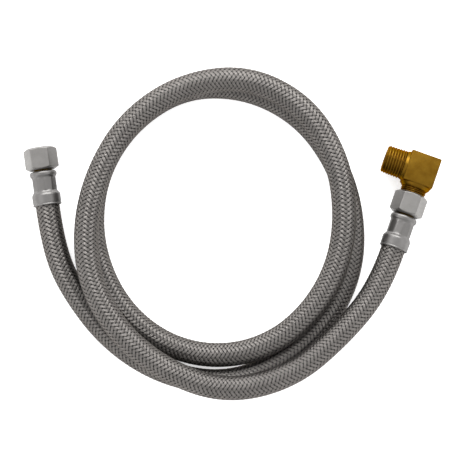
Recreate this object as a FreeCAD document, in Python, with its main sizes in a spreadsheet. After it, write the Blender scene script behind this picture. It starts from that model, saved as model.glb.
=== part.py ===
import FreeCAD, Part
import math
import os
import re
import Sketcher

# A flexible braided supply line, lying on the floor (z = 0) in a loose coil of two and a half
# turns. End A is a loose coupling nut, end B is a coupling nut screwed onto a brass elbow.
# Millimetres, +Z up, origin under the middle of the end fittings.

Vector = FreeCAD.Vector
UP = Vector(0, 0, 1)

# Driving dimensions: alias, value, what it is. Heights along a fitting are counted from the
# mouth of its ferrule, where the hose goes in, towards its nut.
SIZES = (
    ("hose_dia", 14.2, "outside of the wire braid"),
    ("braid_wall", 0.4, "two crossing layers of wire"),
    ("hose_bore", 9.5, "3/8 in bore of the rubber tube"),
    ("bite_dia", 12.4, "outside of the braid where the ferrule bites it"),
    ("bite_start", 8.6, "height where the full bite begins"),
    ("hose_end", 15.6, "height where the hose ends inside the ferrule"),
    ("collar_dia", 16.7, "ferrule, wide collar at the mouth"),
    ("collar_bore", 15.0, "ferrule, inside of the collar"),
    ("collar_top", 6.6, "height of the collar's shoulder"),
    ("crimp_dia", 13.8, "ferrule, outside of the crimp"),
    ("crimp_bore", 12.5, "ferrule, inside of the crimp"),
    ("crimp_end", 16.4, "height where the crimp ends"),
    ("bead_dia", 15.8, "ferrule, bead near the nut"),
    ("bead_top", 19.2, "height where the bead starts to close"),
    ("ferrule_top", 20.3, "overall length of the ferrule"),
    ("sheet_wall", 0.5, "ferrule, wall of the drawn sheet"),
    ("lip_bore", 10.7, "ferrule, hole in its closed end"),
    ("stem_bore", 7.4, "insert, waterway"),
    ("barb_dia", 9.44, "insert, crest of the barbs"),
    ("barb_root", 8.6, "insert, root of the barbs"),
    ("barb_start", 1.5, "height of the first barb"),
    ("barb_pitch", 3.4, "from one barb to the next"),
    ("seat_dia", 10.5, "insert, where the ferrule's lip sits"),
    ("neck_dia", 11.6, "insert, neck that the nut turns on"),
    ("flange_dia", 13.0, "insert, flange that holds the nut"),
    ("flange_low", 23.25, "height of the flange's under side"),
    ("flange_top", 24.8, "height of the flange's face"),
    ("nose_dia", 9.9, "insert, nose through the washer"),
    ("nose_top", 29.4, "overall height of the insert"),
    ("washer_bore", 10.0, "cone washer, hole on the nose"),
    ("washer_dia", 12.6, "cone washer, base"),
    ("washer_tip", 10.4, "cone washer, small end"),
    ("washer_low", 24.85, "height of the washer's base"),
    ("washer_edge", 26.2, "height where the cone begins"),
    ("washer_top", 29.2, "height of the washer's small end"),
    ("nut_flats", 17.46, "11/16 in across the flats"),
    ("nut_height", 13.2, "nut, overall"),
    ("nut_low", 21.2, "height of the nut's hose side"),
    ("nut_face", 15.0, "flat ring left by the chamfers"),
    ("nut_hole", 11.76, "hole that runs on the insert's neck"),
    ("nut_floor", 2.0, "thickness of the nut's inner shoulder"),
    ("nut_relief", 14.9, "recess behind the nut's thread"),
    ("nut_thread", 14.38, "9/16-24 inside thread, root"),
    ("nut_thread_low", 8.2, "from the nut's hose side to its thread"),
    ("block_width", 18.2, "elbow, square bar"),
    ("block_shoulder", 8.7, "elbow, centre to the pipe leg's shoulder"),
    ("block_back", 9.4, "elbow, centre to the face opposite the pipe leg"),
    ("leg_bevel", 1.3, "elbow, bevel from the block to each leg"),
    ("pipe_dia", 17.0, "3/8-18 pipe thread, mean crest"),
    ("pipe_end", 22.2, "elbow, centre to the pipe thread's end"),
    ("pipe_bore", 10.6, "elbow, bore of the pipe leg"),
    ("tube_dia", 14.2, "9/16-24 outside thread, crest"),
    ("tube_bore", 8.0, "elbow, bore of the tube leg"),
    ("tube_end", 21.7, "elbow, centre to the tube leg's end"),
    ("seat_wide", 12.8, "elbow, mouth of the washer's seat"),
    ("seat_narrow", 10.7, "elbow, foot of the washer's seat"),
    ("seat_depth", 2.6, "elbow, depth of the washer's seat"),
    ("edge_break", 0.8, "elbow, chamfer on the block's long edges"),
    ("elbow_height", 48.9, "height of the elbow's centre above the ferrule's mouth"),
    ("mouth_a_x", -108.1, "end A, mouth of the ferrule"),
    ("mouth_a_y", -3.8, "end A, mouth of the ferrule"),
    ("mouth_a_z", 8.73, "end A, the nut lies on one flat"),
    ("lean_a", 8.2, "end A, degrees that the fitting leans to -X"),
    ("pitch_a", 0.0, "end A, degrees that its nut points down"),
    ("mouth_b_x", 94.7, "end B, mouth of the ferrule"),
    ("mouth_b_y", -29.4, "end B, mouth of the ferrule"),
    ("mouth_b_z", 13.07, "end B, the elbow rests on its block's far edge"),
    ("lean_b", -19.6, "end B, degrees that the fitting leans to -X"),
    ("pitch_b", 4.0, "end B, degrees that its nut points down"),
)

# The hose's route: a straight lead out of each ferrule, and between them the corner points of
# the coil, one every COIL_STEP degrees anticlockwise from COIL_START, each as its distance
# from the coil's centre and its height.
LEAD = 24.0
COIL_CENTRE = (-6.5, -19.6)
COIL_START = 200
COIL_STEP = 24
COIL = (
    (94.0, 7.1), (90.5, 7.1), (89.5, 7.1), (89.5, 7.1), (85.0, 7.1), (82.0, 7.1),
    (80.5, 7.1), (79.0, 7.1), (80.5, 7.1), (84.5, 7.1), (87.5, 7.1), (89.0, 7.1),
    (85.0, 7.1), (81.0, 7.1), (77.0, 7.1), (74.5, 7.1), (74.0, 7.1), (74.0, 7.1),
    (73.5, 10.6), (72.5, 15.0), (71.0, 18.0), (71.5, 20.0), (74.0, 21.2), (80.5, 21.8),
    (88.5, 21.8), (92.0, 21.7), (88.5, 21.7), (84.0, 21.8), (79.5, 21.8), (79.0, 21.6),
    (81.5, 21.2), (83.5, 21.3), (87.0, 21.7), (93.5, 21.9), (94.0, 20.9), (92.5, 17.9),
)
BEND = 0.45  # share of the shorter run that an arc takes up on each side of a corner
BARBS = 4

doc = FreeCAD.newDocument("supply_line")
sheet = doc.addObject("Spreadsheet::Sheet", "Sizes")


def fill_sheet():
    for row, (alias, size, note) in enumerate(SIZES, start=1):
        sheet.set(f"A{row}", str(size))
        sheet.setAlias(f"A{row}", alias)
        sheet.set(f"B{row}", note)
    doc.recompute()


def size(text):
    """The number that an expression of the sheet's aliases gives."""
    found = sheet.evalExpression(text)
    return float(getattr(found, "Value", found))


def cell(text):
    """The same expression as the document's other objects write it."""
    return re.sub(r"[a-z]\w*", r"Sizes.\g<0>", text)


# ---------------------------------------------------------------- sketches and features


def new_body(name):
    body = doc.addObject("PartDesign::Body", name)
    body.Label = name
    return body


def origin_plane(body, role):
    return next(plane for plane in body.Origin.OriginFeatures if plane.Role == role)


def outline(body, name, role, corners):
    """A closed polygon on an origin plane; each corner is two expressions of the sheet."""
    sketch = body.newObject("Sketcher::SketchObject", name)
    sketch.AttachmentSupport = [(origin_plane(body, role), "")]
    sketch.MapMode = "FlatFace"
    points = [Vector(size(across), size(along), 0) for across, along in corners]
    for first, second in zip(points, points[1:] + points[:1]):
        sketch.addGeometry(Part.LineSegment(first, second), False)
    for line in range(len(points)):
        after = (line + 1) % len(points)
        sketch.addConstraint(Sketcher.Constraint("Coincident", line, 2, after, 1))
    for line, corner in enumerate(corners):
        for kind, text in zip(("DistanceX", "DistanceY"), corner):
            rule = Sketcher.Constraint(kind, -1, 1, line, 1, size(text))
            index = sketch.addConstraint(rule)
            sketch.setExpression(f"Constraints[{index}]", cell(text))
    return sketch


def turn(body, name, kind, corners):
    """Revolve a half outline of (radius, height) corners about the body's Z axis."""
    sketch = outline(body, name + "_outline", "XZ_Plane", corners)
    feature = body.newObject(kind, name)
    feature.Profile = sketch
    feature.ReferenceAxis = (sketch, ["V_Axis"])
    feature.Angle = 360
    return feature


def turned_body(name, corners):
    body = new_body(name)
    turn(body, name + "_turned", "PartDesign::Revolution", corners)
    return body


def extrude(body, name, sketch, length):
    pad = body.newObject("PartDesign::Pad", name)
    pad.Profile = sketch
    pad.setExpression("Length", cell(length))
    return pad


def cut_checked(body, make_cut):
    """Run a feature that takes material away, and make sure that it does."""
    doc.recompute()
    before = body.Shape.Volume
    make_cut()
    doc.recompute()
    if not body.Shape.Volume < before - 1e-3:
        raise RuntimeError(f"{body.Label}: a cut took nothing away")


# ---------------------------------------------------------------- where the ends lie


def end_frame(end, along=0.0):
    """The placement of an end fitting: +Z runs from the hose to the nut, +X is level."""
    lean, pitch = (math.radians(size(f"{word}_{end}")) for word in ("lean", "pitch"))
    level = Vector(-math.sin(lean), math.cos(lean), 0)
    axis = level * math.cos(pitch) - UP * math.sin(pitch)
    mouth = Vector(*(size(f"mouth_{end}_{letter}") for letter in "xyz"))
    turned = FreeCAD.Rotation(UP.cross(axis), UP, axis, "ZXY")
    return FreeCAD.Placement(mouth + axis * along, turned)


def route_points():
    leads = []
    for end in "ab":
        frame = end_frame(end)
        leads.append((frame.Base, frame.multVec(Vector(0, 0, -LEAD))))
    coil = []
    for index, (reach, height) in enumerate(COIL):
        angle = math.radians(COIL_START + index * COIL_STEP)
        coil.append(Vector(COIL_CENTRE[0] + reach * math.cos(angle),
                           COIL_CENTRE[1] + reach * math.sin(angle), height))
    return [*leads[0], *coil, leads[1][1], leads[1][0]]


def hose_path():
    """Straight runs joined by tangent arcs, each as large as its two runs allow."""
    points = route_points()
    edges, radii, start = [], [], points[0]
    for before, corner, after in zip(points, points[1:], points[2:]):
        back, ahead = before - corner, after - corner
        reach = BEND * min(back.Length, ahead.Length)
        back.normalize()
        ahead.normalize()
        half_turn = (math.pi - back.getAngle(ahead)) / 2
        radii.append(reach / math.tan(half_turn))
        enter, leave = corner + back * reach, corner + ahead * reach
        inward = (back + ahead).normalize()
        middle = corner + inward * (radii[-1] / math.cos(half_turn) - radii[-1])
        edges.append(Part.LineSegment(start, enter).toShape())
        edges.append(Part.Arc(enter, middle, leave).toShape())
        start = leave
    edges.append(Part.LineSegment(start, points[-1]).toShape())
    print("bend radii:", " ".join(f"{radius:.0f}" for radius in radii))
    return Part.Wire(edges)


# ---------------------------------------------------------------- the hose


def disc(radius, path):
    first = path.Edges[0]
    circle = Part.Circle(first.valueAt(0), first.tangentAt(0), radius)
    return Part.Face(Part.Wire(circle.toShape()))


def hose_layer(name, path, outer, inner, bitten_outer, bitten_inner):
    """One layer of the hose: its tube along the path, and its bitten ends in the ferrules."""
    tube = path.makePipe(disc(outer, path)).cut(path.makePipe(disc(inner, path)))
    expected = math.pi * (outer**2 - inner**2) * path.Length
    if abs(tube.Volume - expected) > 0.002 * expected:
        raise RuntimeError(f"{name}: {tube.Volume:.0f} mm3 swept, {expected:.0f} expected")
    taper, bite, stop = size("collar_top"), size("bite_start"), size("hose_end")
    half = [(inner, 0), (outer, 0), (outer, taper), (bitten_outer, bite),
            (bitten_outer, stop), (bitten_inner, stop), (bitten_inner, bite), (inner, taper)]
    corners = [Vector(reach, 0, height) for reach, height in half]
    profile = Part.Face(Part.makePolygon(corners + corners[:1]))
    end_piece = profile.revolve(Vector(), UP, 360)
    ends = []
    for end in "ab":
        piece = end_piece.copy()
        piece.Placement = end_frame(end)
        ends.append(piece)
    layer = tube.fuse(ends).removeSplitter()
    feature = doc.addObject("Part::Feature", name)
    feature.Label = name
    feature.Shape = layer.Solids[0] if len(layer.Solids) == 1 else layer
    return feature


def make_hose():
    path = hose_path()
    print(f"hose between the ferrules: {path.Length:.1f} mm")
    outer = size("hose_dia / 2")
    skin = outer - size("braid_wall")
    bore = size("hose_bore / 2")
    bitten = size("bite_dia / 2")
    bitten_skin = bitten - size("braid_wall")
    return [
        hose_layer("hose_braid", path, outer, skin, bitten, bitten_skin),
        hose_layer("hose_liner", path, skin, bore, bitten_skin, bore),
    ]


# ---------------------------------------------------------------- pieces of each end


def make_ferrule(end):
    """A drawn sheet sleeve: wide collar, crimp, bead, and a closed end with a hole."""
    return turned_body(f"ferrule_{end}", [
        ("collar_bore / 2", "0"),
        ("collar_dia / 2", "0"),
        ("collar_dia / 2", "collar_top - 0.4"),
        ("collar_dia / 2 - 0.5", "collar_top + 0.7"),
        ("crimp_dia / 2", "bite_start - 0.2"),
        ("crimp_dia / 2", "crimp_end"),
        ("bead_dia / 2", "crimp_end + 1.4"),
        ("bead_dia / 2", "bead_top"),
        ("bead_dia / 2 - 0.45", "ferrule_top"),
        ("lip_bore / 2", "ferrule_top"),
        ("lip_bore / 2", "ferrule_top - sheet_wall"),
        ("bead_dia / 2 - 1.0", "ferrule_top - sheet_wall"),
        ("bead_dia / 2 - sheet_wall", "bead_top - 0.2"),
        ("bead_dia / 2 - sheet_wall", "crimp_end + 1.6"),
        ("crimp_bore / 2", "crimp_end + 0.2"),
        ("crimp_bore / 2", "bite_start"),
        ("collar_bore / 2", "collar_top"),
    ])


def make_insert(end):
    """A turned stem: barbs in the hose, a neck for the nut, a flange and a nose."""
    barbs = []
    for index in range(BARBS):
        foot = f"barb_start + {index} * barb_pitch"
        barbs.append(("barb_root / 2", foot))
        barbs.append(("barb_dia / 2", f"{foot} + 0.8 * barb_pitch"))
        barbs.append(("barb_root / 2", f"{foot} + 0.85 * barb_pitch"))
    return turned_body(f"insert_{end}", [
        ("stem_bore / 2", "barb_start"),
        *barbs,
        ("barb_root / 2", "hose_end + 0.1"),
        ("seat_dia / 2", "hose_end + 0.1"),
        ("seat_dia / 2", "ferrule_top"),
        ("neck_dia / 2", "ferrule_top"),
        ("neck_dia / 2", "flange_low"),
        ("flange_dia / 2", "flange_low"),
        ("flange_dia / 2", "flange_top"),
        ("nose_dia / 2", "flange_top"),
        ("nose_dia / 2", "nose_top - 0.4"),
        ("nose_dia / 2 - 0.4", "nose_top"),
        ("stem_bore / 2", "nose_top"),
    ])


def make_washer(end):
    """A rubber cone washer on the insert's nose."""
    return turned_body(f"cone_washer_{end}", [
        ("washer_bore / 2", "washer_low"),
        ("washer_dia / 2", "washer_low"),
        ("washer_dia / 2", "washer_edge"),
        ("washer_tip / 2", "washer_top"),
        ("washer_bore / 2", "washer_top"),
    ])


def make_nut(end):
    """A hexagon nut, chamfered at both ends, one flat up, its thread root as a plain bore."""
    body = new_body(f"coupling_nut_{end}")
    reach, half = "nut_flats / 1.7320508", "nut_flats / 2"
    hexagon = [(reach, "0"), (f"{reach} / 2", half), (f"-{reach} / 2", half),
               (f"-{reach}", "0"), (f"-{reach} / 2", f"-{half}"), (f"{reach} / 2", f"-{half}")]
    sketch = outline(body, f"hexagon_{end}", "XY_Plane", hexagon)
    extrude(body, f"bar_{end}", sketch, "nut_height")
    rise = "(nut_flats - nut_face / 2) * 0.5773503"
    for name, face, away in (("low", "0", "1"), ("top", "nut_height", "-1")):
        corners = [("nut_face / 2", face), ("nut_flats", f"{face} + {away} * {rise}"),
                   ("nut_flats", face)]
        cut_checked(body, lambda: turn(body, f"{name}_chamfer_{end}", "PartDesign::Groove",
                                       corners))
    bore = [("0", "0"), ("nut_hole / 2", "0"), ("nut_hole / 2", "nut_floor"),
            ("nut_relief / 2", "nut_floor"), ("nut_relief / 2", "nut_thread_low"),
            ("nut_thread / 2", "nut_thread_low"), ("nut_thread / 2", "nut_height"),
            ("0", "nut_height")]
    cut_checked(body, lambda: turn(body, f"bore_{end}", "PartDesign::Groove", bore))
    return body


# ---------------------------------------------------------------- the elbow


def make_elbow():
    """A square bar block with a pipe leg along +X and a tube leg along -Z, drilled through."""
    half = "block_width / 2"
    block = doc.addObject("Part::Box", "elbow_block")
    block.setExpression("Length", cell("block_back + block_shoulder"))
    block.setExpression("Width", cell("block_width"))
    block.setExpression("Height", cell("block_width"))
    for letter, text in (("x", "-block_back"), ("y", f"-{half}"), ("z", f"-{half}")):
        block.setExpression(f".Placement.Base.{letter}", cell(text))

    def lay(piece, start, length, leg):
        """Point a primitive from the block's centre along a leg, starting at a distance. Its
        seam is turned away from the other leg."""
        piece.setExpression("Height", cell(length))
        turned = FreeCAD.Rotation(Vector(0, 1, 0), leg)
        turned = turned.multiply(FreeCAD.Rotation(Vector(0, 0, 1), 135))
        piece.Placement = FreeCAD.Placement(turned.multVec(Vector(0, 0, size(start))), turned)
        return piece

    def rod(name, diameter, length, leg, start="0"):
        piece = doc.addObject("Part::Cylinder", name)
        piece.setExpression("Radius", cell(f"{diameter} / 2"))
        return lay(piece, start, length, leg)

    def bevel(name, foot, tip, start, length, leg):
        piece = doc.addObject("Part::Cone", name)
        piece.setExpression("Radius1", cell(f"({foot}) / 2"))
        piece.setExpression("Radius2", cell(f"{tip} / 2"))
        return lay(piece, start, length, leg)

    to_pipe, to_tube = 90, 180
    eased = doc.addObject("Part::Chamfer", "eased_block")
    eased.Base = block
    doc.recompute()
    long_edges = [
        number for number, edge in enumerate(block.Shape.Edges, start=1)
        if abs(edge.tangentAt(edge.FirstParameter).dot(Vector(0, 1, 0))) < 0.5
    ]
    break_size = size("edge_break")
    eased.Edges = [(number, break_size, break_size) for number in long_edges]

    solid = doc.addObject("Part::MultiFuse", "elbow_solid")
    solid.Shapes = [
        eased,
        rod("pipe_leg", "pipe_dia", "pipe_end", to_pipe),
        rod("tube_leg", "tube_dia", "tube_end", to_tube),
        bevel("pipe_bevel", "block_width - 0.3", "pipe_dia", "block_shoulder - 1",
              "leg_bevel + 1", to_pipe),
        bevel("tube_bevel", "block_width - 1.1", "tube_dia", f"{half} - 1",
              "leg_bevel + 1.7", to_tube),
    ]
    holes = doc.addObject("Part::MultiFuse", "elbow_holes")
    holes.Shapes = [
        rod("pipe_drill", "pipe_bore", "pipe_end + 1.6 + tube_bore / 2", to_pipe,
            "0 - tube_bore / 2 - 0.6"),
        rod("tube_drill", "tube_bore", "tube_end + 1", to_tube),
        bevel("washer_seat", "seat_narrow", "seat_wide", "tube_end - seat_depth",
              "seat_depth", to_tube),
    ]
    elbow = doc.addObject("Part::Cut", "elbow_body")
    elbow.Label = "elbow_body"
    elbow.Base = solid
    elbow.Tool = holes
    return elbow


# ---------------------------------------------------------------- building and writing


def build():
    fill_sheet()
    pieces = make_hose()
    for end in "ab":
        for make in (make_ferrule, make_insert, make_washer):
            piece = make(end)
            piece.Placement = end_frame(end)
            pieces.append(piece)
        nut = make_nut(end)
        nut.Placement = end_frame(end, size("nut_low"))
        pieces.append(nut)
    elbow = make_elbow()
    elbow.Placement = end_frame("b", size("elbow_height"))
    pieces.append(elbow)
    doc.recompute()
    return pieces


def check(pieces):
    for item in doc.Objects:
        if "Invalid" in item.State or "Error" in item.State:
            raise RuntimeError(f"{item.Label}: {item.State}")
    for piece in pieces:
        shape = piece.Shape
        if shape.isNull() or not shape.isValid() or len(shape.Solids) != 1:
            raise RuntimeError(f"{piece.Label}: not one valid solid")
        box = shape.BoundBox
        print(f"{piece.Label:16s} {shape.Volume:9.1f} mm3  x {box.XMin:7.2f} {box.XMax:7.2f}"
              f"  y {box.YMin:7.2f} {box.YMax:7.2f}  z {box.ZMin:6.2f} {box.ZMax:6.2f}")


def write(pieces):
    os.makedirs("parts", exist_ok=True)
    for piece in pieces:
        piece.Shape.exportStep(f"parts/{piece.Label}.step")


pieces = build()
check(pieces)
write(pieces)
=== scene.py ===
import math

import bmesh
import bpy
import numpy as np
from mathutils import Matrix, Vector


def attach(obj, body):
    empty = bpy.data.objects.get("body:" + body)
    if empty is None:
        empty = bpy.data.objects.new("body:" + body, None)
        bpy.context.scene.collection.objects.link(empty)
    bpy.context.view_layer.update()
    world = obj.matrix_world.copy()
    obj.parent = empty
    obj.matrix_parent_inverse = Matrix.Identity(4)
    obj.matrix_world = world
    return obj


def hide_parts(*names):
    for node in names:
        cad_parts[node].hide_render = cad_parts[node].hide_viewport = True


# A braided supply line lying in a loose coil: a woven wire sleeve on a black rubber tube, a crimped
# steel ferrule and a hexagon nut at each end, and a brass elbow screwed into one of the nuts.
# The fittings are drawn in millimetres in their end's own frame: the origin is the middle of the
# ferrule's mouth, +Z runs from the hose to the nut and +X is level.

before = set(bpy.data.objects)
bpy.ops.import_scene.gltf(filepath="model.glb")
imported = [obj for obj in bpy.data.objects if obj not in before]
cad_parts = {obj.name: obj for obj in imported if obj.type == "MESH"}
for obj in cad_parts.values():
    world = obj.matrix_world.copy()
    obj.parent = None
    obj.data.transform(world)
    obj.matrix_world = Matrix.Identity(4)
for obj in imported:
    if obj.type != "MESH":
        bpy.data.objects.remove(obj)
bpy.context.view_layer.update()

MM = 0.001
TAU = 2 * math.pi
UP = Vector((0, 0, 1))

# The ends: the middle of each ferrule's mouth in metres, how far the fitting leans to -X, and
# how far its nut points down, in degrees.
MOUTH = {"a": (-0.1081, -0.0038, 0.00873), "b": (0.0947, -0.0294, 0.01307)}
LEAN = {"a": 8.2, "b": -19.6}
PITCH = {"a": 0.0, "b": 4.0}
LEAD = 0.024  # how far the hose runs straight out of each ferrule before its first turn

# The hose's coil, as part.py has it: one control point every COIL_STEP degrees, each as its
# distance from the coil's centre and its height.
COIL_CENTRE = (-0.0065, -0.0196)
COIL_START = 200  # degrees
COIL_STEP = 24
COIL = (
    (0.0940, 0.0071), (0.0905, 0.0071), (0.0895, 0.0071), (0.0895, 0.0071), (0.0850, 0.0071),
    (0.0820, 0.0071), (0.0805, 0.0071), (0.0790, 0.0071), (0.0805, 0.0071), (0.0845, 0.0071),
    (0.0875, 0.0071), (0.0890, 0.0071), (0.0850, 0.0071), (0.0810, 0.0071), (0.0770, 0.0071),
    (0.0745, 0.0071), (0.0740, 0.0071), (0.0740, 0.0071), (0.0735, 0.0106), (0.0725, 0.0150),
    (0.0710, 0.0180), (0.0715, 0.0200), (0.0740, 0.0212), (0.0805, 0.0218), (0.0885, 0.0218),
    (0.0920, 0.0217), (0.0885, 0.0217), (0.0840, 0.0218), (0.0795, 0.0218), (0.0790, 0.0216),
    (0.0815, 0.0212), (0.0835, 0.0213), (0.0870, 0.0217), (0.0935, 0.0219), (0.0940, 0.0209),
    (0.0925, 0.0179),
)
TUBE_RADIUS = 0.00655  # of the rubber tube under the wires
BORE_RADIUS = 0.00476  # of the tube's waterway

# The camera stands over the coil, tipped a little towards -Y.
TARGET = Vector((-0.00373, -0.0153, 0.009))
CAMERA_DISTANCE = 1.1
CAMERA_TILT = 3.0
LENS = 149.7

FLOOR_HALF = 4  # half of the floor's side

# Soft boxes: azimuth and elevation in degrees, distance and size in metres, power in watts.
SOFT_BOXES = (
    ("key", 88, 38, 1.5, (1.7, 1.0), 31),
    ("side", 185, 40, 1.5, (1.4, 1.1), 4),
    ("fill", 350, 35, 1.6, (1.4, 1.0), 2.5),
)


def end_matrix(end):
    """Where an end's own frame stands."""
    lean, pitch = math.radians(LEAN[end]), math.radians(PITCH[end])
    level = Vector((-math.sin(lean), math.cos(lean), 0))
    axis = level * math.cos(pitch) - UP * math.sin(pitch)
    side = UP.cross(level)
    turned = Matrix((side, axis.cross(side), axis)).transposed()
    return Matrix.Translation(MOUTH[end]) @ turned.to_4x4()


# ---------------------------------------------------------------- camera, floor and light


def make_camera():
    tilt = math.radians(CAMERA_TILT)
    data = bpy.data.cameras.new("camera")
    data.lens = LENS
    data.sensor_width = 36
    camera = bpy.data.objects.new("camera", data)
    back = Vector((0, -math.sin(tilt), math.cos(tilt)))
    camera.location = TARGET + CAMERA_DISTANCE * back
    camera.rotation_euler = (tilt, 0, 0)
    bpy.context.scene.collection.objects.link(camera)
    bpy.context.scene.camera = camera


def soft_box(name, azimuth, elevation, distance, size, power):
    data = bpy.data.lights.new(name, "AREA")
    data.shape = "RECTANGLE"
    data.size, data.size_y = size
    data.energy = power
    lamp = bpy.data.objects.new(name, data)
    a, e = math.radians(azimuth), math.radians(elevation)
    away = Vector((math.cos(a) * math.cos(e), math.sin(a) * math.cos(e), math.sin(e)))
    lamp.location = distance * away
    lamp.rotation_euler = away.to_track_quat("Z", "Y").to_euler()
    bpy.context.scene.collection.objects.link(lamp)


def make_stage():
    mesh = bpy.data.meshes.new("floor")
    corners = [(-FLOOR_HALF, -FLOOR_HALF, 0), (FLOOR_HALF, -FLOOR_HALF, 0),
               (FLOOR_HALF, FLOOR_HALF, 0), (-FLOOR_HALF, FLOOR_HALF, 0)]
    mesh.from_pydata(corners, [], [(0, 1, 2, 3)])
    floor = bpy.data.objects.new("floor", mesh)
    bpy.context.scene.collection.objects.link(floor)
    paper = bpy.data.materials.new("paper")
    paper.use_nodes = True
    shader = paper.node_tree.nodes["Principled BSDF"]
    shader.inputs["Base Color"].default_value = (0.95, 0.95, 0.95, 1)
    shader.inputs["Roughness"].default_value = 0.9
    shader.inputs["Emission Color"].default_value = (1.0, 1.0, 1.0, 1)
    shader.inputs["Emission Strength"].default_value = 0.55
    mesh.materials.append(paper)

    world = bpy.data.worlds.new("room")
    world.use_nodes = True
    background = world.node_tree.nodes["Background"]
    background.inputs["Color"].default_value = (1.0, 1.0, 1.0, 1)
    background.inputs["Strength"].default_value = 1.05
    bpy.context.scene.world = world

    for name, azimuth, elevation, distance, size, power in SOFT_BOXES:
        soft_box(name, azimuth, elevation, distance, size, power)
    bpy.context.scene.view_settings.view_transform = "Standard"


# ---------------------------------------------------------------- meshes from grids of points


def grid_mesh(name, grids, closed, uvs=None, marks=None):
    """One mesh of several grids, each of rows by columns of points in metres."""
    points, quads, start = [], [], 0
    for grid in grids:
        rows, columns = grid.shape[:2]
        index = np.arange(start, start + rows * columns).reshape(rows, columns)
        if closed:
            index = np.hstack([index, index[:, :1]])
        corners = (index[:-1, :-1], index[:-1, 1:], index[1:, 1:], index[1:, :-1])
        quads.append(np.stack(corners, axis=-1).reshape(-1, 4))
        points.append(grid.reshape(-1, 3))
        start += rows * columns
    points, quads = np.concatenate(points), np.concatenate(quads)
    mesh = bpy.data.meshes.new(name)
    mesh.vertices.add(len(points))
    mesh.vertices.foreach_set("co", points.astype(np.float32).ravel())
    mesh.loops.add(quads.size)
    mesh.loops.foreach_set("vertex_index", quads.astype(np.int32).ravel())
    mesh.polygons.add(len(quads))
    mesh.polygons.foreach_set("loop_start", np.arange(0, quads.size, 4, dtype=np.int32))
    mesh.update(calc_edges=True)
    if uvs is not None:
        layer = mesh.uv_layers.new(name="UVMap")
        flat = np.concatenate([uv.reshape(-1, 2) for uv in uvs])
        layer.data.foreach_set("uv", flat[quads.ravel()].astype(np.float32).ravel())
    if marks is not None:
        layer = mesh.attributes.new("mark", "FLOAT", "POINT")
        flat = np.concatenate([mark.ravel() for mark in marks])
        layer.data.foreach_set("value", flat.astype(np.float32))
    mesh.shade_smooth()
    return mesh


def new_piece(name, mesh, material, body, stands_for=()):
    piece = bpy.data.objects.new(name, mesh)
    bpy.context.scene.collection.objects.link(piece)
    mesh.materials.clear()
    mesh.materials.append(material)
    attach(piece, body)
    if stands_for:
        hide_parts(*stands_for)
    return piece


def place(grid, matrix):
    """Points drawn in millimetres, moved to where the matrix puts them in metres."""
    turn = np.array(matrix.to_3x3())
    return (grid * MM) @ turn.T + np.array(matrix.translation)


def lathe_points(radius, height, angle):
    """A grid from radii and heights (rows by columns) and the columns' angles."""
    radius, height, angle = np.broadcast_arrays(radius, height, angle)
    return np.stack([radius * np.cos(angle), radius * np.sin(angle), height], axis=-1)


def eased(corners, steps=5):
    """A profile of (radius, height, ease) corners, each softened over its ease in mm."""
    places = [np.array(corner[:2], float) for corner in corners]
    profile = [places[0]]
    for before, here, after, corner in zip(places, places[1:], places[2:], corners[1:]):
        back, ahead = before - here, after - here
        far = np.linalg.norm(back), np.linalg.norm(ahead)
        reach = min(corner[2], 0.48 * far[0], 0.48 * far[1])
        enter, leave = here + back / far[0] * reach, here + ahead / far[1] * reach
        for t in np.linspace(0, 1, steps):
            profile.append((1 - t)**2 * enter + 2 * t * (1 - t) * here + t**2 * leave)
    profile.append(places[-1])
    return np.array(profile)


# ---------------------------------------------------------------- the hose's line


def route_points():
    leads = []
    for end in "ab":
        matrix = end_matrix(end)
        leads.append((matrix @ Vector((0, 0, 0)), matrix @ Vector((0, 0, -LEAD))))
    coil = []
    for index, (reach, height) in enumerate(COIL):
        angle = math.radians(COIL_START + index * COIL_STEP)
        coil.append(Vector((COIL_CENTRE[0] + reach * math.cos(angle),
                            COIL_CENTRE[1] + reach * math.sin(angle), height)))
    return [*leads[0], *coil, leads[1][1], leads[1][0]]


def hose_line():
    """The points of the hose's middle line, from the smooth spline of its route."""
    points = route_points()
    curve = bpy.data.curves.new("hose_line", "CURVE")
    curve.dimensions = "3D"
    spline = curve.splines.new("NURBS")
    spline.points.add(len(points) - 1)
    for control, point in zip(spline.points, points):
        control.co = (*point, 1)
    spline.order_u = 3
    spline.use_endpoint_u = True
    curve.resolution_u = 24
    holder = bpy.data.objects.new("hose_line", curve)
    bpy.context.scene.collection.objects.link(holder)
    mesh = bpy.data.meshes.new_from_object(holder)
    line = np.array([vertex.co for vertex in mesh.vertices], float)
    bpy.data.objects.remove(holder)
    bpy.data.meshes.remove(mesh)
    return line


def lengths_along(line):
    steps = np.linalg.norm(np.diff(line, axis=0), axis=1)
    return np.concatenate([[0], np.cumsum(steps)])


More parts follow.
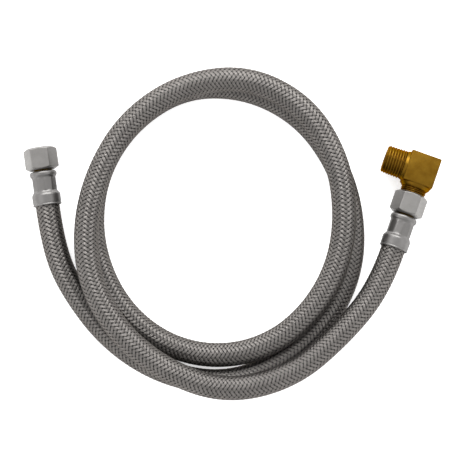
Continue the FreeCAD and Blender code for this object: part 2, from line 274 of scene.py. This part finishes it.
class HoseFrames:
    """Positions round the hose: distance along it from mouth A, angle round it, radius."""

    INSIDE = 0.016              # how far the hose goes on inside each ferrule
    SQUEEZED = (0.0066, 0.0086)  # where the ferrules' crimp begins to squeeze it, and is done
    SQUEEZE = 0.0009

    def __init__(self, line, step=0.0015):
        along = lengths_along(line)
        self.length = along[-1]
        count = int(round(self.length / step))
        even = np.linspace(0, self.length, count + 1)
        middle = np.stack([np.interp(even, along, line[:, k]) for k in range(3)], axis=1)
        start, end = middle[0] - middle[1], middle[-1] - middle[-2]
        start, end = start / np.linalg.norm(start), end / np.linalg.norm(end)
        inside = np.linspace(0, self.INSIDE, 17)[1:]
        self.middle = np.vstack([(middle[0] + np.outer(inside, start))[::-1], middle,
                                 middle[-1] + np.outer(inside, end)])
        self.along = np.concatenate([-inside[::-1], even, self.length + inside])
        tangent = np.gradient(self.middle, self.along, axis=0)
        self.tangent = tangent / np.linalg.norm(tangent, axis=1)[:, None]
        self.side = self.untwisted()
        self.other = np.cross(self.tangent, self.side)

    def untwisted(self):
        """A side direction carried along the line without turning about it."""
        side = np.cross(self.tangent[0], (0, 0, 1))
        sides = [side / np.linalg.norm(side)]
        for tangent in self.tangent[1:]:
            side = sides[-1] - tangent * np.dot(sides[-1], tangent)
            sides.append(side / np.linalg.norm(side))
        return np.array(sides)

    def points(self, along, angle, radius):
        def read(table):
            return np.stack([np.interp(along, self.along, table[:, k]) for k in range(3)],
                            axis=-1)
        side, other = read(self.side), read(self.other)
        side /= np.linalg.norm(side, axis=-1)[..., None]
        other /= np.linalg.norm(other, axis=-1)[..., None]
        reach = side * np.cos(angle)[..., None] + other * np.sin(angle)[..., None]
        return read(self.middle) + reach * radius[..., None]

    def bite(self, along):
        """How much the ferrules squeeze the hose's radius, inside their crimps."""
        inside = np.maximum(-along, along - self.length)
        return np.interp(inside, self.SQUEEZED, (0.0, self.SQUEEZE))


# ---------------------------------------------------------------- the woven sleeve

CARRIERS = 12        # wound each way
BRAID_LEAD = 0.0303  # along the hose, for one turn of a carrier
CROSSINGS = 2 * CARRIERS  # that a carrier makes in one turn
BRAID_RADIUS = 0.00694  # of the sleeve's middle surface
WEAVE = 0.00016      # how far a carrier rises and dips from the middle radius
SIDE_DROP = 0.00016  # how far its two edges hang below its middle
FILL = 0.480         # half of a carrier's width, as a share of the carriers' spacing
PINCH = 0.22         # how much of that it loses between two crossings
PINCH_SPREAD = 0.16  # how far along each narrowing reaches, in crossings
CRISP = 2.4          # how sharply a carrier steps from over to under
WIRES = 8            # side by side in each carrier
PARTS = 3            # pieces that the carriers of one way are split into
TRIM = 0.0008        # how far short of the tube's ends the wires stop
UV_LENGTH = 0.01     # of carrier for one unit of its UV map
# The points across a carrier, from edge to edge, and how much of the drop each one has.
ACROSS = np.array([-1.0, -0.8, -0.35, 0.35, 0.8, 1.0])
DROP = np.array([1.0, 0.25, 0.03, 0.03, 0.25, 1.0])
# Where the points along it stand within two crossings.
BEAT = np.array([-0.27, -0.09, 0.09, 0.27, 0.8, 1.0, 1.2])


def carrier(frames, way, index):
    """One flat bundle of wires, two over and two under the ones wound the other way.

    own and met count the carriers round the hose, own along this carrier's way of winding and
    met along the other's, so that whole numbers of met are where it crosses them."""
    inside = HoseFrames.INSIDE - TRIM
    first = -inside * CROSSINGS / BRAID_LEAD
    last = (frames.length + inside) * CROSSINGS / BRAID_LEAD
    turn = 1.5 - index
    if way > 0:
        low, high = first + index, last + index
    else:
        low, high = index - last, index - first
    beats = np.arange(math.floor((low - turn) / 2) - 1, math.ceil((high - turn) / 2) + 2)
    met = (turn + 2 * beats[:, None] + BEAT[None, :]).ravel()
    met = met[(met > low) & (met < high)]
    if way < 0:
        met = met[::-1]
    between = np.exp(-(((met - turn + 0.5) % 1 - 0.5) / PINCH_SPREAD)**2)
    own = index + (FILL - PINCH * between)[:, None] * ACROSS[None, :]
    met = np.broadcast_to(met[:, None], own.shape)
    right, left = (own, met) if way > 0 else (met, own)
    along = (left - right) * BRAID_LEAD / CROSSINGS
    angle = (left + right) * TAU / CROSSINGS
    wave = np.tanh(CRISP * np.cos(TAU * (met + index - 0.5) / 4)) / math.tanh(CRISP)
    radius = BRAID_RADIUS + way * WEAVE * wave - SIDE_DROP * DROP[None, :]
    grid = frames.points(along, angle, radius - frames.bite(along))
    slope = math.atan2(TAU * BRAID_RADIUS, BRAID_LEAD)
    round_it = angle * BRAID_RADIUS
    v = way * round_it * math.sin(slope) + along * math.cos(slope)
    u = np.broadcast_to((ACROSS[None, :] + 1) / 2, v.shape)
    uv = np.stack([u, v / UV_LENGTH], axis=-1)
    # mark is 1 where this carrier lies over the other way's carriers and 0 where it dives under
    # them; the wire material paints shade on the low marks
    mark = (1 + way * wave) / 2
    return grid, uv, mark


def make_sleeve(frames, material):
    pieces = []
    for way, word in ((1, "right"), (-1, "left")):
        for part in range(PARTS):
            made = [carrier(frames, way, index) for index in range(part, CARRIERS, PARTS)]
            grids, uvs, marks = zip(*made)
            name = f"braid_{word}_{part + 1}"
            mesh = grid_mesh(name, grids, False, uvs, marks)
            pieces.append(new_piece(name, mesh, material, "hose", ["hose_braid"]))
    return pieces


def make_tube(frames, material):
    """The black rubber tube under the wires, outside and bore."""
    angle = np.linspace(0, TAU, 40, endpoint=False)[None, :]
    along = frames.along[:, None] * np.ones_like(angle)
    turned = angle * np.ones_like(along)
    outer = frames.points(along, turned, TUBE_RADIUS - frames.bite(along))
    bore = frames.points(along, turned, np.full(along.shape, BORE_RADIUS))
    around = np.concatenate([outer, bore[::-1], outer[:1]])
    tube = new_piece("hose_tube", grid_mesh("hose_tube", [around], True), material, "hose",
                     ["hose_liner", "hose_braid"])
    return tube


# ---------------------------------------------------------------- shader building


def shader_tree(name):
    material = bpy.data.materials.new(name)
    material.use_nodes = True
    tree = material.node_tree
    return material, tree.nodes, tree.links, tree.nodes["Principled BSDF"]


def noise(nodes, links, scale, detail=4.0):
    """A noise in object coordinates; scale is in features for each metre."""
    coordinates = nodes.new("ShaderNodeTexCoord")
    texture = nodes.new("ShaderNodeTexNoise")
    texture.inputs["Scale"].default_value = scale
    texture.inputs["Detail"].default_value = detail
    links.new(coordinates.outputs["Object"], texture.inputs["Vector"])
    return texture.outputs["Fac"]


def ramp(nodes, links, source, stops):
    """Colours, or greys, for rising values of the source."""
    node = nodes.new("ShaderNodeValToRGB")
    elements = node.color_ramp.elements
    while len(elements) < len(stops):
        elements.new(0.5)
    for element, (position, colour) in zip(elements, stops):
        element.position = position
        if not hasattr(colour, "__len__"):
            colour = (colour,) * 3
        element.color = (*colour, 1)
    links.new(source, node.inputs["Fac"])
    return node.outputs["Color"]


def mix(nodes, links, amount, first, second, kind="MIX"):
    node = nodes.new("ShaderNodeMix")
    node.data_type = "RGBA"
    node.blend_type = kind
    if hasattr(amount, "is_linked"):
        links.new(amount, node.inputs[0])
    else:
        node.inputs[0].default_value = amount
    for socket, value in ((node.inputs[6], first), (node.inputs[7], second)):
        if hasattr(value, "is_linked"):
            links.new(value, socket)
        else:
            socket.default_value = (*value, 1)
    return node.outputs[2]


def bump(nodes, links, shader, height, distance, strength=1.0):
    node = nodes.new("ShaderNodeBump")
    node.inputs["Distance"].default_value = distance
    node.inputs["Strength"].default_value = strength
    links.new(height, node.inputs["Height"])
    links.new(node.outputs["Normal"], shader.inputs["Normal"])


def attribute(nodes, name):
    node = nodes.new("ShaderNodeAttribute")
    node.attribute_name = name
    return node.outputs["Fac"]


def arithmetic(nodes, links, operation, first, second=0.0):
    node = nodes.new("ShaderNodeMath")
    node.operation = operation
    for socket, value in zip(node.inputs, (first, second)):
        if hasattr(value, "is_linked"):
            links.new(value, socket)
        else:
            socket.default_value = value
    return node.outputs[0]


def wire_material():
    """Bundles of bright stainless wires: eight round wires side by side in each carrier, with shade
    painted into their colour between the wires, at each carrier's two edges and where a carrier
    dives under.
    """
    material, nodes, links, shader = shader_tree("stainless_wire")
    uv = nodes.new("ShaderNodeUVMap")
    uv.uv_map = "UVMap"
    split = nodes.new("ShaderNodeSeparateXYZ")
    links.new(uv.outputs["UV"], split.inputs["Vector"])
    turned = arithmetic(nodes, links, "MULTIPLY", split.outputs["X"], WIRES * math.pi)
    wire = arithmetic(nodes, links, "ABSOLUTE",
                      arithmetic(nodes, links, "SINE", turned))
    # painted shade: the wires' colour darkens in the grooves between the round wires and towards
    # each carrier's two edges, where it meets its neighbours
    wire_shade = ramp(nodes, links, wire, [(0.0, 0.34), (0.55, 0.92), (1.0, 1.0)])
    edge = ramp(nodes, links, split.outputs["X"],
                [(0.0, 0.55), (0.12, 0.95), (0.5, 1.0), (0.88, 0.95), (1.0, 0.55)])
    wire_shade = mix(nodes, links, 1.0, wire_shade, edge, "MULTIPLY")
    # painted shade: the wires' own grey over the crossings, going near black where a carrier dives
    # under the other way's carriers
    shade = ramp(nodes, links, attribute(nodes, "mark"),
                 [(0.1, (0.030, 0.027, 0.025)), (0.40, (0.080, 0.075, 0.071)),
                  (0.6, (0.178, 0.167, 0.158)), (1.0, (0.246, 0.231, 0.219))])
    patch = ramp(nodes, links, noise(nodes, links, 90), [(0.3, 0.84), (0.7, 1.0)])
    colour = mix(nodes, links, 1.0, shade, patch, "MULTIPLY")
    colour = mix(nodes, links, 1.0, colour, wire_shade, "MULTIPLY")
    links.new(colour, shader.inputs["Base Color"])
    rough = ramp(nodes, links, noise(nodes, links, 400), [(0.3, 0.34), (0.7, 0.46)])
    links.new(rough, shader.inputs["Roughness"])
    shader.inputs["Metallic"].default_value = 1.0
    shader.inputs["Anisotropic"].default_value = 0.6
    shader.inputs["Specular Tint"].default_value = (0.40, 0.385, 0.37, 1)
    tangent = nodes.new("ShaderNodeTangent")
    tangent.direction_type = "UV_MAP"
    tangent.uv_map = "UVMap"
    links.new(tangent.outputs["Tangent"], shader.inputs["Tangent"])
    bump(nodes, links, shader, wire, 0.00006)
    return material


def rubber_material(name, colour):
    material, nodes, links, shader = shader_tree(name)
    spots = ramp(nodes, links, noise(nodes, links, 700),
                 [(0.35, [0.7 * c for c in colour]), (0.65, colour)])
    links.new(spots, shader.inputs["Base Color"])
    rough = ramp(nodes, links, noise(nodes, links, 500), [(0.3, 0.5), (0.7, 0.68)])
    links.new(rough, shader.inputs["Roughness"])
    bump(nodes, links, shader, noise(nodes, links, 3000), 0.00002)
    return material


def metal_material(name, light, dark, smooth, rough, grain, rim=(1, 1, 1), root=None):
    """Metal with patches of two tones, uneven gloss, and fine grain. rim tints what it reflects at
    a glance, and root is the tone that the attribute mark brings in: painted shade at the feet of a
    thread and inside a bore, and the dulled metal where a crimp has squeezed it."""
    material, nodes, links, shader = shader_tree(name)
    colour = ramp(nodes, links, noise(nodes, links, 160, 5), [(0.34, dark), (0.66, light)])
    if root:
        colour = mix(nodes, links, attribute(nodes, "mark"), colour, root)
    links.new(colour, shader.inputs["Base Color"])
    streak = noise(nodes, links, 900, 3)
    links.new(ramp(nodes, links, streak, [(0.3, smooth), (0.7, rough)]),
              shader.inputs["Roughness"])
    shader.inputs["Metallic"].default_value = 1.0
    shader.inputs["Specular Tint"].default_value = (*rim, 1)
    bump(nodes, links, shader, noise(nodes, links, 2600, 3), grain, 0.6)
    return material


# ---------------------------------------------------------------- ferrules

# The outline as radius, height, and how far each corner is eased.
FERRULE = (
    (7.45, 5.5, 0), (7.45, 0.9, 0.3), (7.62, 0.12, 0.3), (8.05, -0.02, 0.2),
    (8.36, 0.22, 0.2), (8.40, 0.66, 0.2), (8.12, 1.0, 0.25), (8.30, 1.6, 0.4),
    (8.35, 6.1, 0.7), (8.05, 6.9, 0.6), (7.25, 7.9, 0.7), (6.93, 8.5, 0.6),
    (6.92, 16.1, 0.8), (7.15, 16.9, 0.5), (7.75, 17.5, 0.5), (7.91, 18.4, 0.6),
    (7.86, 19.3, 0.5), (7.4, 20.05, 0.5), (6.7, 20.3, 0.3), (5.36, 20.3, 0.1),
    (5.36, 19.8, 0),
)
FERRULE_ROW = 0.8      # the most height between two rows of the mesh
CRIMP_LOW = 8.3
CRIMP_HIGH = 16.3
CRIMP_FADE = 0.7       # height over which the flats run out
CRIMP_SIDES = 10
CRIMP_TURN = 0.12      # radians
CRIMP_CORNERS = 46     # how crisp the corners between the flats are
CRIMP_SIZE = 0.988     # the flats' radius, as a share of the outline's
FERRULE_INNER = 6.3    # what has a smaller radius isn't crimped


def many_sided(angle, sides, turn, sharp):
    """The radius of a polygon round a unit circle; a higher sharp gives crisper corners."""
    total = np.zeros_like(angle)
    for side in range(sides):
        total += np.maximum(np.cos(angle - turn - TAU * side / sides), 0)**sharp
    return total**(-1 / sharp)


def make_ferrule(end, material):
    """A drawn sleeve: rolled lip, wide collar, ten-sided crimp, bead, and closed end."""
    profile = eased(FERRULE)
    dense = []
    for first, second in zip(profile, profile[1:]):
        count = max(1, int(abs(second[1] - first[1]) / FERRULE_ROW))
        for t in np.arange(count) / count:
            dense.append(first + (second - first) * t)
    profile = np.array([*dense, profile[-1]])
    angle = np.linspace(0, TAU, 120, endpoint=False)[None, :]
    radius, height = profile[:, :1], profile[:, 1:]
    sides = many_sided(angle, CRIMP_SIDES, CRIMP_TURN, CRIMP_CORNERS)
    crimped = np.clip((height - CRIMP_LOW) / CRIMP_FADE, 0, 1)
    crimped = crimped * np.clip((CRIMP_HIGH - height) / CRIMP_FADE, 0, 1)
    outside = radius > FERRULE_INNER
    radius = radius * (1 + crimped * outside * (CRIMP_SIZE * sides - 1))
    grid = lathe_points(radius, height, angle)
    mesh = grid_mesh(f"ferrule_sleeve_{end}", [place(grid, end_matrix(end))], True,
                     marks=[np.broadcast_to(crimped, radius.shape)])
    return new_piece(mesh.name, mesh, material, "hose", [f"ferrule_{end}"])


# ---------------------------------------------------------------- nuts

NUT_LOW = 21.2
NUT_TOP = 34.4
NUT_THREAD_LOW = 29.4
NUT_FLAT = 17.46 / 2  # from the axis to a flat
NUT_FACE = 15.0 / 2  # the chamfer's radius at the nut's two end faces
NUT_ROOT = 7.19      # of the thread, and its depth
NUT_DEPTH = 0.56
NUT_RELIEF = 7.45    # behind the thread
NUT_NECK = 5.88      # hole that runs on the insert's neck
NUT_SHOULDER = 2.0   # thick
FINE_PITCH = 25.4 / 24  # of the nut's thread and the elbow's tube leg
PIPE_PITCH = 1.6
CHAMFER_LIFT = 0.08  # the chamfer's cone above the face's edge, and how soft its edge is
CHAMFER_EASE = 0.09
# Angles from each corner at which the nut's mesh has a column.
CORNER_STEPS = np.radians([-30, -22, -14, -8, -5, -3, -1.8, -0.9,
                           0, 0.9, 1.8, 3, 5, 8, 14, 22])


def thread(height, angle, pitch, lead_in, lead_out):
    """How far up the flank a helical thread stands, from 0 at the root to 1 at the crest,
    fading out past its two ends."""
    phase = (height / pitch - angle / TAU) % 1.0
    flank = np.clip((1 - np.abs(2 * phase - 1)) * 1.45 - 0.1, 0, 1)
    fade = np.clip((height - lead_in) / (0.5 * pitch), 0, 1)
    return flank * fade * np.clip((lead_out - height) / (0.5 * pitch), 0, 1)


def soft_least(first, second, ease):
    """The smaller of two values, with the step from one to the other eased."""
    return -ease * np.log(np.exp(-first / ease) + np.exp(-second / ease))


def make_nut(end, body, material, crisp):
    """A hexagon nut: chamfered corners, a threaded bore, and an inner shoulder."""
    angle = np.concatenate([math.pi / 3 * side + CORNER_STEPS for side in range(6)])[None, :]
    flats = NUT_FLAT * many_sided(angle, 6, math.pi / 6, crisp)
    tall = NUT_TOP - NUT_LOW
    near = np.array([0.0, 0.08, 0.2, 0.35, 0.5, 0.65, 0.8, 0.95, 1.1, 1.3, 1.5, 1.8, 2.4, 3.6,
                     5.2])
    rise = np.concatenate([near, [tall / 2], (tall - near)[::-1]])[:, None]
    slope = math.sqrt(3)
    cone = NUT_FACE + slope * np.minimum(rise, tall - rise)
    outer = soft_least(flats, cone + CHAMFER_LIFT, CHAMFER_EASE)
    outer[0], outer[-1] = NUT_FACE, NUT_FACE
    rows_r, rows_h = [outer], [NUT_LOW + rise * np.ones_like(angle)]

    def ring(radius, height):
        rows_r.append(np.full((1, angle.size), radius))
        rows_h.append(np.full((1, angle.size), height))

    ring(7.36, NUT_TOP)
    ring(7.22, NUT_TOP - 0.08)
    ring(7.17, NUT_TOP - 0.3)
    drop = np.arange(NUT_TOP - 0.4, NUT_THREAD_LOW, -FINE_PITCH / 10)[:, None]
    gap = thread(drop, angle, FINE_PITCH, NUT_THREAD_LOW, NUT_TOP - 0.3)
    rows_r.append(NUT_ROOT - NUT_DEPTH * (1 - gap))
    rows_h.append(drop * np.ones_like(angle))
    ring(NUT_ROOT, NUT_THREAD_LOW)
    ring(NUT_RELIEF, NUT_THREAD_LOW - 0.1)
    ring(NUT_RELIEF, NUT_LOW + NUT_SHOULDER + 0.05)
    ring(NUT_RELIEF - 0.05, NUT_LOW + NUT_SHOULDER)
    ring(NUT_NECK + 0.1, NUT_LOW + NUT_SHOULDER)
    ring(NUT_NECK, NUT_LOW + NUT_SHOULDER - 0.1)
    ring(NUT_NECK, NUT_LOW + 0.15)
    ring(NUT_NECK + 0.15, NUT_LOW)
    ring(7.42, NUT_LOW)
    grid = lathe_points(np.concatenate(rows_r), np.concatenate(rows_h), angle)
    grid = np.concatenate([grid, grid[:1]])
    mesh = grid_mesh(f"hexagon_nut_{end}", [place(grid, end_matrix(end))], True)
    mesh.set_sharp_from_angle(angle=math.radians(50))
    return new_piece(mesh.name, mesh, material, body, [f"coupling_nut_{end}"])


# ---------------------------------------------------------------- the elbow

ELBOW_HEIGHT = 48.9   # of the block's centre, from the ferrule's mouth
BLOCK_HALF = 9.1
BLOCK_BACK = 9.4      # from its centre, away from the pipe leg
BLOCK_FRONT = 8.7     # and towards it
BLOCK_EDGE = 0.7      # how far its edges are broken
PIPE_START = 10.35    # of the thread, from the block's centre
PIPE_END = 22.2
PIPE_CREST = 8.6
PIPE_BORE = 5.3
PIPE_DEPTH = 0.52     # of the thread
PIPE_TAPER = 32       # along the leg for each one that the radius shrinks
TUBE_END = 27.2       # from the ferrule's mouth
TUBE_THREAD_TOP = 37.4
TUBE_CREST = 7.1
TUBE_BORE = 4.0
TUBE_DEPTH = 0.5      # of the thread


def elbow_legs():
    """The two legs as grids with their marks of painted shade: the pipe leg about its own axis,
    from the block's centre, and the tube leg in the end's frame."""
    angle = np.linspace(0, TAU, 128, endpoint=False)[None, :]

    def finish(rows):
        full = [[np.broadcast_to(values, (len(row[1]), angle.size)) for values in row]
                for row in rows]
        radius, height, mark = (np.concatenate(part) for part in zip(*full))
        return lathe_points(radius, height, angle), mark

    def column(*values):
        return np.array(values, float)[:, None]

    # pipe leg, outwards from its collar: the collar, the thread, then the mouth and the bore; its
    # mark paints shade into the thread's feet and down the bore
    height = np.arange(PIPE_START, PIPE_END - 0.2, PIPE_PITCH / 12)[:, None]
    crest = PIPE_CREST - (height - PIPE_START) / PIPE_TAPER
    stand = thread(height, angle, PIPE_PITCH, PIPE_START - 0.15, PIPE_END + 1.3)
    tip = np.clip((height - (PIPE_END - 1.0)) / 1.0, 0, 1)
    radius = np.minimum(crest - PIPE_DEPTH * (1 - stand), crest - 0.8 * tip)
    root_shade = np.clip(0.6 * (1 - stand), 0, 0.45)
    pipe = finish([
        (column(9.0, 9.0, 8.85, 8.7, 8.62, PIPE_CREST), column(8.2, 8.72, 9.1, 9.7, 10.1, 10.3),
         column(0, 0, 0, 0, 0, 0)),
        (radius, height, root_shade),
        (column(7.25, 7.1, PIPE_BORE + 0.3, PIPE_BORE, PIPE_BORE),
         column(PIPE_END - 0.05, PIPE_END, PIPE_END, PIPE_END - 0.3, 8.5),
         column(0.1, 0, 0, 0.2, 0.5)),
    ])

    # tube leg: up its bore to the seat, then out along the thread to the collar under the block;
    # its mark paints shade into the bore, the seat and the thread's feet
    block_low = ELBOW_HEIGHT - BLOCK_HALF
    height = np.arange(TUBE_END + 0.2, TUBE_THREAD_TOP - 0.1, FINE_PITCH / 10)[:, None]
    stand = thread(height, angle, FINE_PITCH, TUBE_END, TUBE_THREAD_TOP)
    tip = np.clip((TUBE_END + 1.0 - height) / 0.8, 0, 1)
    crest = TUBE_CREST + 0.4 * np.clip((height - 34.8) / 0.8, 0, 1)
    radius = np.minimum(crest - TUBE_DEPTH * (1 - stand), crest - 0.7 * tip)
    tube = finish([
        (column(TUBE_BORE, TUBE_BORE, 5.35, 6.4, 6.42),
         column(block_low + 0.8, 29.8, 29.8, TUBE_END, TUBE_END), column(0.5, 0.5, 0.3, 0, 0)),
        (radius, height, np.clip(0.8 * (1 - stand), 0, 0.7)),
        (column(7.3, 7.6, 8.0, 8.4, 8.68, 8.8),
         column(TUBE_THREAD_TOP, 37.5, 37.9, 38.4, 39.0, block_low + 0.6),
         column(0.2, 0, 0, 0, 0, 0)),
    ])
    return pipe, tube


def block_mesh(matrix):
    """The square bar block, its edges broken and both bores drilled.

    It is made in millimetres about its own centre, with the pipe leg along +X."""
    bm = bmesh.new()
    bmesh.ops.create_cube(bm, size=1)
    for vertex in bm.verts:
        x, y, z = vertex.co
        vertex.co = ((x + 0.5) * (BLOCK_BACK + BLOCK_FRONT) - BLOCK_BACK,
                     y * 2 * BLOCK_HALF, z * 2 * BLOCK_HALF)
    bmesh.ops.bevel(bm, geom=bm.edges[:], offset=BLOCK_EDGE, segments=3, profile=0.6,
                    affect="EDGES")
    mesh = bpy.data.meshes.new("block")
    bm.to_mesh(mesh)
    bm.free()
    block = bpy.data.objects.new("block", mesh)
    bpy.context.scene.collection.objects.link(block)
    tools = []
    for radius, turned, centre, length in (
            (PIPE_BORE, Matrix.Rotation(math.pi / 2, 4, "Y"), (7, 0, 0), 22),
            (TUBE_BORE, Matrix.Identity(4), (0, 0, -8), 20)):
        drill = bmesh.new()
        bmesh.ops.create_cone(drill, cap_ends=True, segments=64, radius1=radius,
                              radius2=radius, depth=length)
        bmesh.ops.transform(drill, verts=drill.verts,
                            matrix=Matrix.Translation(centre) @ turned)
        data = bpy.data.meshes.new("drill")
        drill.to_mesh(data)
        drill.free()
        tool = bpy.data.objects.new("drill", data)
        bpy.context.scene.collection.objects.link(tool)
        modifier = block.modifiers.new("drill", "BOOLEAN")
        modifier.operation = "DIFFERENCE"
        modifier.solver = "EXACT"
        modifier.object = tool
        tools.append(tool)
    bpy.context.view_layer.update()
    cut = bpy.data.meshes.new_from_object(
        block.evaluated_get(bpy.context.evaluated_depsgraph_get()))
    for item in [block, *tools]:
        bpy.data.objects.remove(item)
    cut.transform(matrix @ Matrix.Scale(MM, 4))
    layer = cut.attributes.new("mark", "FLOAT", "POINT")
    layer.data.foreach_set("value", np.zeros(len(cut.vertices), np.float32))
    cut.shade_smooth()
    cut.set_sharp_from_angle(angle=math.radians(28))
    return cut


def make_elbow(material):
    matrix = end_matrix("b")
    centre = matrix @ Matrix.Translation((0, 0, ELBOW_HEIGHT * MM))
    (pipe, pipe_mark), (tube, tube_mark) = elbow_legs()
    sideways = centre @ Matrix.Rotation(math.pi / 2, 4, "Y")
    legs = grid_mesh("elbow_legs", [place(pipe, sideways), place(tube, matrix)], True,
                     marks=[pipe_mark, tube_mark])
    bm = bmesh.new()
    bm.from_mesh(legs)
    bm.from_mesh(block_mesh(centre))
    mesh = bpy.data.meshes.new("brass_elbow")
    bm.to_mesh(mesh)
    bm.free()
    mesh.set_sharp_from_angle(angle=math.radians(34))
    return new_piece("brass_elbow", mesh, material, "elbow", ["elbow_body"])


# ---------------------------------------------------------------- making it all


make_camera()
make_stage()
hose = HoseFrames(hose_line())
make_tube(hose, rubber_material("tube_rubber", (0.015, 0.015, 0.016)))
make_sleeve(hose, wire_material())

nickel = metal_material("satin_nickel", (0.225, 0.219, 0.211), (0.20, 0.194, 0.187), 0.40, 0.52,
                        0.00001)
steel = metal_material("drawn_steel", (0.205, 0.199, 0.195), (0.170, 0.165, 0.161), 0.36, 0.47,
                       0.000006, rim=(0.6, 0.6, 0.6), root=(0.160, 0.155, 0.151))
# brass's root tone is the painted shade that the elbow's marks bring into its thread feet and bores
brass = metal_material("brass", (0.180, 0.098, 0.011), (0.128, 0.064, 0.006), 0.33, 0.46, 0.000012,
                       rim=(0.60, 0.41, 0.14), root=(0.12, 0.048, 0.003))
# painted shadow: the inserts' brass is darkened nearly to black so the gap between each ferrule and
# its nut reads as shadow
insert_brass_painted_shadow = metal_material("insert_brass_painted_shadow", (0.04, 0.025, 0.007), (0.022, 0.013, 0.003), 0.25,
                              0.38, 0.00001)
washer_rubber = rubber_material("washer_rubber", (0.025, 0.025, 0.027))

for end in "ab":
    make_ferrule(end, steel)
    for node, material in ((f"insert_{end}", insert_brass_painted_shadow),
                           (f"cone_washer_{end}", washer_rubber)):
        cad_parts[node].data.materials.clear()
        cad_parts[node].data.materials.append(material)
make_nut("a", "inlet_nut", nickel, 34)
make_nut("b", "outlet_nut", nickel, 70)
make_elbow(brass)
